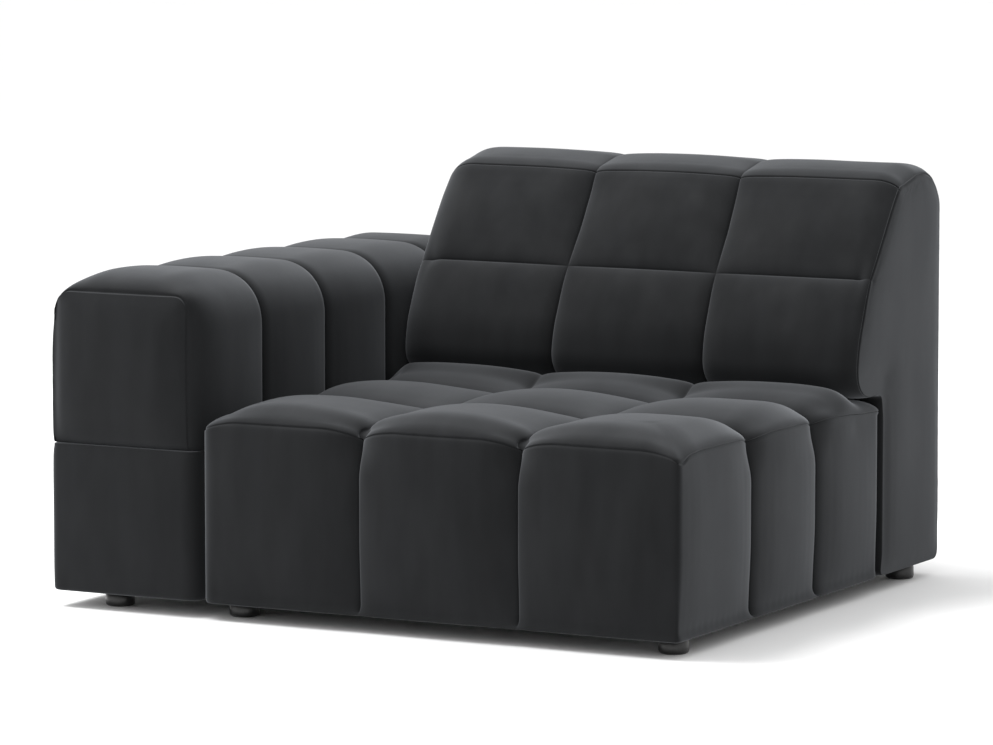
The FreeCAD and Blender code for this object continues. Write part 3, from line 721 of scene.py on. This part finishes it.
BACK_OUTLINE = ((282, 29, 12), (545, 29, 20), (545, 765, 84), (430, 765, 90), (345, 748, 60),
                (212, 566, 300), (168, 460, 200), (157, 358, 58), (282, 358, 6))
BOTTOM_FRONT, BOTTOM_REAR, TOP_REAR, TOP_FRONT, NOSE_FRONT, NOSE_REAR = 0, 1, 2, 4, 7, 8
ROW_SEAM, TOP_SEAM = mm(580, 741)
BACK_ROUND = 20 * MM
LEFT_REACH, RIGHT_REACH = mm(60, 44)
LEFT_INSET = 2.4
BACK_END_TURN = np.radians([0, 9, 18, 27, 36, 45, 54, 62, 69, 74, 78.5, 83, 90])
BACK_SHARES = (0.13, 0.13, 0.14, 0.25, 1.0, 1.35, 1.0, 0.75, 0.2, 0.15, 0.5, 0.5, 0.13)
BACK_TUFTED = (0, 0.3, 0.4, 0.75, 1, 0.75, 0.2)
BACK_DEPTH = 24 * MM
BACK_COLUMN_RIM, BACK_ROW_HALF, BACK_ROW_RIM = mm(28, 140, 26)
LEAN_FROM, LEAN_OVER = 0.37, 0.37

back_low, back_high = box_of("back_front_cover", "back_top_cover", "back_side_covers", "back_rear_cover",
                             "back_base_cover")
back_curve, middles = fillet([mm(*corner) for corner in BACK_OUTLINE])
back_lengths = arc_lengths(back_curve)
back_total = back_lengths[-1]
back_marks = [back_lengths[m] for m in middles]
FRONT_START, FRONT_END = back_marks[TOP_FRONT], back_total + back_marks[BOTTOM_FRONT]


def front_length_at(height):
    """The arc length where the front passes a height."""
    wanted = np.linspace(back_marks[TOP_FRONT], back_marks[NOSE_FRONT], 2000)
    z = along(back_curve, back_lengths, wanted)[:, 1]
    return float(np.interp(-height, -z, wanted))


ROW_LENGTH, TOP_LENGTH = front_length_at(ROW_SEAM), front_length_at(TOP_SEAM)


def back_points(**mesh):
    """The back's section carried across it, its edges drawn in at the left and right ends."""
    bottom_front, bottom_rear = back_marks[BOTTOM_FRONT], back_marks[BOTTOM_REAR]
    top_rear, top_front = back_marks[TOP_REAR], back_marks[TOP_FRONT]
    nose_front, nose_rear = back_marks[NOSE_FRONT], back_marks[NOSE_REAR]
    bottom = gathered(bottom_front, bottom_rear, **mesh)
    front = gathered(FRONT_START, FRONT_END, (ROW_LENGTH, TOP_LENGTH), **mesh)
    steps_a, steps_b = len(bottom) - 1, len(front) - 1
    front_knots = [FRONT_START, nose_front - 40 * MM, nose_front + 40 * MM, nose_rear, FRONT_END]
    rear_knots = [top_rear, bottom_rear + 0.45, bottom_rear + 0.40, bottom_rear + 0.31, bottom_rear]
    rear = np.interp(front[::-1], front_knots, rear_knots)
    top = np.linspace(top_rear, top_front, steps_a + 1)
    lengths = np.concatenate([bottom[:-1], rear[:-1], top[:-1], front[:-1]])
    outline = along(back_curve, back_lengths, lengths)
    ahead = along(back_curve, back_lengths, lengths + 3 * MM)
    behind = along(back_curve, back_lengths, lengths - 3 * MM)
    tangent = (ahead - behind) / np.linalg.norm(ahead - behind, axis=1)[:, None]
    inward = np.column_stack([-tangent[:, 1], tangent[:, 0]])
    share_knots = [0, bottom_rear - 30 * MM, bottom_rear + 40 * MM, top_rear - 60 * MM, top_rear + 30 * MM,
                   top_front - 30 * MM, top_front + 60 * MM, nose_front - 30 * MM, nose_front + 60 * MM,
                   nose_rear, nose_rear + 40 * MM, back_total - 30 * MM, back_total]
    factor = np.interp(np.mod(lengths, back_total), share_knots, BACK_SHARES)
    inward = inward * factor[:, None] * BACK_ROUND
    low, high = back_low[0], back_high[0]
    rings = [(low, 1.2 * LEFT_INSET), (low, 1.1 * LEFT_INSET)]
    rings += [(low + LEFT_REACH * (1 - math.sin(a)), LEFT_INSET * (1 - math.cos(a)))
              for a in BACK_END_TURN[:0:-1]]
    rings += [(x, 0.0) for x in gathered(low + LEFT_REACH, high - RIGHT_REACH, COLUMN_CREASES, **mesh)]
    rings += [(high - RIGHT_REACH * (1 - math.sin(a)), 1 - math.cos(a)) for a in BACK_END_TURN[1:]]
    rings += [(high, 1.15), (high, 1.35)]
    points, quads, place, ring = shell(outline, inward, steps_a, steps_b, rings, (1, 2, 0), power=3.0)
    kept = np.append((lengths >= bottom_rear + 60 * MM) & (lengths <= nose_rear - 20 * MM), False)[place]
    left_ring, right_ring = 3, len(rings) - 4
    top_place = int(np.argmin(abs(lengths - TOP_LENGTH)))
    seams = {"back_left_seam": (ring == left_ring) & kept, "back_right_seam": (ring == right_ring) & kept,
             "back_top_seam": (place == top_place) & (ring >= left_ring) & (ring <= right_ring)}
    length = np.where(place >= 0, lengths[place], 0.0)
    return points, quads, place >= 0, length, seams


def back_shape(points, quads, on_ring, length, seams):
    """Two rows of three cells on the front, and the seams."""
    x, _, z = points.T
    top_rear, top_front, nose_front = back_marks[TOP_REAR], back_marks[TOP_FRONT], back_marks[NOSE_FRONT]
    knots = [top_rear - 40 * MM, top_rear + 40 * MM, top_front, top_front + 50 * MM, top_front + 120 * MM,
             nose_front - 10 * MM, back_marks[NOSE_REAR]]
    tufted = np.interp(length, knots, BACK_TUFTED, left=0, right=0) * on_ring
    across = cell(nearest(x, COLUMN_CREASES), COLUMN_HALF, BACK_COLUMN_RIM, 0.5)
    inner = ramp(np.minimum(x - back_low[0], back_high[0] - x), -4, 24)
    row = cell(np.where(on_ring, abs(length - ROW_LENGTH), 1.0), BACK_ROW_HALF, BACK_ROW_RIM, 0.65)
    row = 1 - (1 - row) * (0.04 + 0.96 * inner) * 0.9
    amount = -BACK_DEPTH * (1 - across * row) * tufted
    for on_seam in seams.values():
        amount = amount - SEAM_PINCH * on_seam
    moved = points + normals_of(points, quads) * amount[:, None]
    lean = np.clip((z - LEAN_FROM) / LEAN_OVER, 0, 1)
    moved[:, 0] += np.interp(x, [back_low[0], *COLUMN_CREASES, back_high[0]], mm(0, 7, -6, 0)) * lean
    return moved


def back_pressed():
    points, quads, on_ring, length, seams = back_points(**COARSE)
    shaped = back_shape(points, quads, on_ring, length, seams)
    x, y, z = points.T
    sewn = (nearest(x, COLUMN_CREASES) < 4 * MM) & (y < 500 * MM) | (abs(length - ROW_LENGTH) < 4 * MM)
    for on_seam in seams.values():
        sewn |= on_seam
    hidden = (z < 40 * MM) | (x < back_low[0] + 8 * MM) | ((z < 400 * MM) & (y < 300 * MM))
    return shaped, swollen(shaped, quads, sewn | hidden, 5 * MM)


points, quads, on_ring, length, back_seams = back_points()
points = back_shape(points, quads, on_ring, length, back_seams)
points += carried(*back_pressed(), points)
back_cover = make_piece("back_cover", points, quads.tolist(), VELVET)
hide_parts("back_front_cover", "back_top_cover", "back_side_covers", "back_rear_cover",
            "back_base_cover", "back_cell_pads", "back_top_pads", "back_rear_foam", "back_base_foam",
            "back_side_foams")
for seam_name, on_seam in back_seams.items():
    thread_and_shade_line(seam_name, points[on_seam])


# ---------------------------------------------------------------- feet, dust cloths and staples

FOOT_PROFILE = ((0, 0), (19.5, 0), (22.4, 0.5), (24.3, 1.7), (25.5, 3.6), (26, 6), (26, 21.6), (25.3, 22.5),
                (25.3, 23.7), (26, 24.6), (26, 28), (25.5, 29.2), (24.2, 30), (0, 30))
FOOT_RADIUS = 26 * MM
FOOT_SEGMENTS = 56
MIDDLE_FEET_INSET = 44 * MM

feet_low, feet_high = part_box("feet")
left_x, right_x = feet_low[0] + FOOT_RADIUS, feet_high[0] - FOOT_RADIUS
middle_x = seat_low[0] + MIDDLE_FEET_INSET
front_y, rear_y = feet_low[1] + FOOT_RADIUS, feet_high[1] - FOOT_RADIUS


def turned(profile, segments, place):
    """A turned part standing at a place, from (radius, height) pairs in mm that start and end on the axis."""
    angles = np.linspace(0, 2 * math.pi, segments, endpoint=False)
    points = [(0, 0, profile[0][1] * MM)]
    for radius, height in profile[1:-1]:
        points += [(radius * MM * math.cos(a), radius * MM * math.sin(a), height * MM) for a in angles]
    points.append((0, 0, profile[-1][1] * MM))
    last = len(points) - 1
    faces = []
    for k in range(segments):
        following = (k + 1) % segments
        faces.append((0, 1 + following, 1 + k))
        for ring in range(len(profile) - 3):
            low = 1 + ring * segments
            faces.append((low + k, low + following, low + segments + following, low + segments + k))
        faces.append((last, last - segments + k, last - segments + following))
    return np.array(points) + np.array(place), faces


foot_points, foot_faces = [], []
for foot_x, foot_y in ((left_x, front_y), (left_x, rear_y), (middle_x, front_y), (right_x, front_y),
                       (middle_x, rear_y), (right_x, rear_y)):
    made, faces = turned(FOOT_PROFILE, FOOT_SEGMENTS, (foot_x, foot_y, 0))
    start = len(made) * len(foot_points)
    foot_points.append(made)
    foot_faces += [tuple(i + start for i in face) for face in faces]
round_feet = make_piece("round_feet", np.vstack(foot_points), foot_faces, PLASTIC, subdivide=0)
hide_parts("feet")

CLOTH_INSET = 15 * MM
CLOTH_HEM = 13 * MM
CLOTH_BELOW, STAPLES_BELOW = mm(1.3, 2.2)
STAPLE_PITCH, STAPLE_FROM_END = mm(62, 24)
STAPLE_SHAPE = ((-5, 1.4), (-5, 0), (5, 0), (5, 1.4))


def dust_cloth(name, node):
    """The black cloth under a module, its edge folded in and stapled."""
    low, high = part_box(node)
    u0, u1, v0, v1 = low[0] + CLOTH_INSET, high[0] - CLOTH_INSET, low[1] + CLOTH_INSET, high[1] - CLOTH_INSET
    x_lines = gathered(u0, u1, (u0 + CLOTH_HEM, u1 - CLOTH_HEM), step=14 * MM, fine=1 * MM)
    y_lines = gathered(v0, v1, (v0 + CLOTH_HEM, v1 - CLOTH_HEM), step=14 * MM, fine=1 * MM)
    x, y = np.meshgrid(x_lines, y_lines, indexing="ij")
    edge = np.minimum.reduce([x - u0, u1 - x, y - v0, v1 - y])
    folded = 0.45 * MM * (edge < CLOTH_HEM)
    waves = 1 + 0.5 * np.sin(x * 31 + y * 17) + 0.5 * np.sin(y * 43 - x * 11)
    z = low[2] - CLOTH_BELOW - folded - 0.5 * MM * ramp(edge - CLOTH_HEM, 0, 60) * waves
    rows, columns = x.shape
    index = np.arange(rows * columns).reshape(rows, columns)
    quads = np.stack([index[:-1, :-1], index[:-1, 1:], index[1:, 1:], index[1:, :-1]], -1).reshape(-1, 4)
    points = np.column_stack([x.ravel(), y.ravel(), z.ravel()])
    cloth = make_piece(name, points, quads.tolist(), DUST_CLOTH, subdivide=0)
    thick = cloth.modifiers.new("thickness", "SOLIDIFY")
    thick.thickness, thick.offset = 0.5 * MM, 0
    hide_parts(node)
    level = low[2] - STAPLES_BELOW
    staples = []
    for fixed, low_end, high_end, across in ((v0, u0, u1, 0), (v1, u0, u1, 0),
                                             (u0, v0, v1, 1), (u1, v0, v1, 1)):
        inner = fixed + math.copysign(CLOTH_HEM / 2, (v0 + v1 if across == 0 else u0 + u1) / 2 - fixed)
        count = round((high_end - low_end) / STAPLE_PITCH)
        for place in np.linspace(low_end + STAPLE_FROM_END, high_end - STAPLE_FROM_END, count):
            spots = [(place + step * MM, inner, level + up * MM) for step, up in STAPLE_SHAPE]
            staples.append([(v, u, w) for u, v, w in spots] if across else spots)
    curve_piece(name + "_staples", staples, 0.45 * MM, 2, ZINC)


dust_cloth("arm_dust_cloth", "arm_dust_cover")
dust_cloth("seat_dust_cloth", "seat_dust_cover")
dust_cloth("back_dust_cloth", "back_dust_cover")


# ---------------------------------------------------------------- carried-over nodes

node_slots = {row["node"]: row["material_slot"] for row in frame["record"]["subparts"]}
for node_name, node in frame["nodes"].items():
    node.data.materials.clear()
    node.data.materials.append(SLOT_LOOKS[node_slots[node_name]])


# ---------------------------------------------------------------- floor, light and camera

FLOOR_HALF = 60
FLOOR = simple("floor", grey(0.965), grey(0.975), 3, roughness=0.9, bump=0.0)
floor_mesh = bpy.data.meshes.new("floor")
floor_mesh.from_pydata([(u * FLOOR_HALF, v * FLOOR_HALF, 0) for u, v in ((-1, -1), (1, -1), (1, 1), (-1, 1))],
                       [], [(0, 1, 2, 3)])
floor_mesh.materials.append(FLOOR)
floor = bpy.data.objects.new("floor", floor_mesh)
bpy.context.scene.collection.objects.link(floor)

world = bpy.data.worlds.new("studio")
bpy.context.scene.world = world
world.use_nodes = True
world.node_tree.nodes["Background"].inputs["Color"].default_value = (1, 1, 1, 1)
world.node_tree.nodes["Background"].inputs["Strength"].default_value = 1.04


def aim(thing, place, direction):
    """Stand a light or the camera at a place, looking along a direction."""
    thing.location = place
    thing.rotation_mode = "QUATERNION"
    thing.rotation_quaternion = direction.to_track_quat("-Z", "Y")
    bpy.context.scene.collection.objects.link(thing)


def softbox(name, place, size, energy, target):
    light = bpy.data.lights.new(name, "AREA")
    light.shape = "SQUARE"
    light.size = size
    light.energy = energy
    aim(bpy.data.objects.new(name, light), place, Vector(target) - Vector(place))


softbox("key", (-1.9, -0.6, 4.2), size=2.6, energy=225, target=(0, 0, 0.3))
softbox("fill", (-1.7, -2.1, 0.9), size=0.9, energy=4, target=(-0.45, -0.54, 0.3))

CAMERA_PLACE = (4.496, -8.478, 1.499)
CAMERA_DIRECTION = (-0.466527, 0.877103, -0.114205)

camera_data = bpy.data.cameras.new("camera")
camera_data.sensor_width = 36
camera_data.lens = 194.63
camera_data.clip_end = 200
camera = bpy.data.objects.new("camera", camera_data)
aim(camera, CAMERA_PLACE, Vector(CAMERA_DIRECTION))
bpy.context.scene.camera = camera
bpy.context.scene.view_settings.view_transform = "Standard"
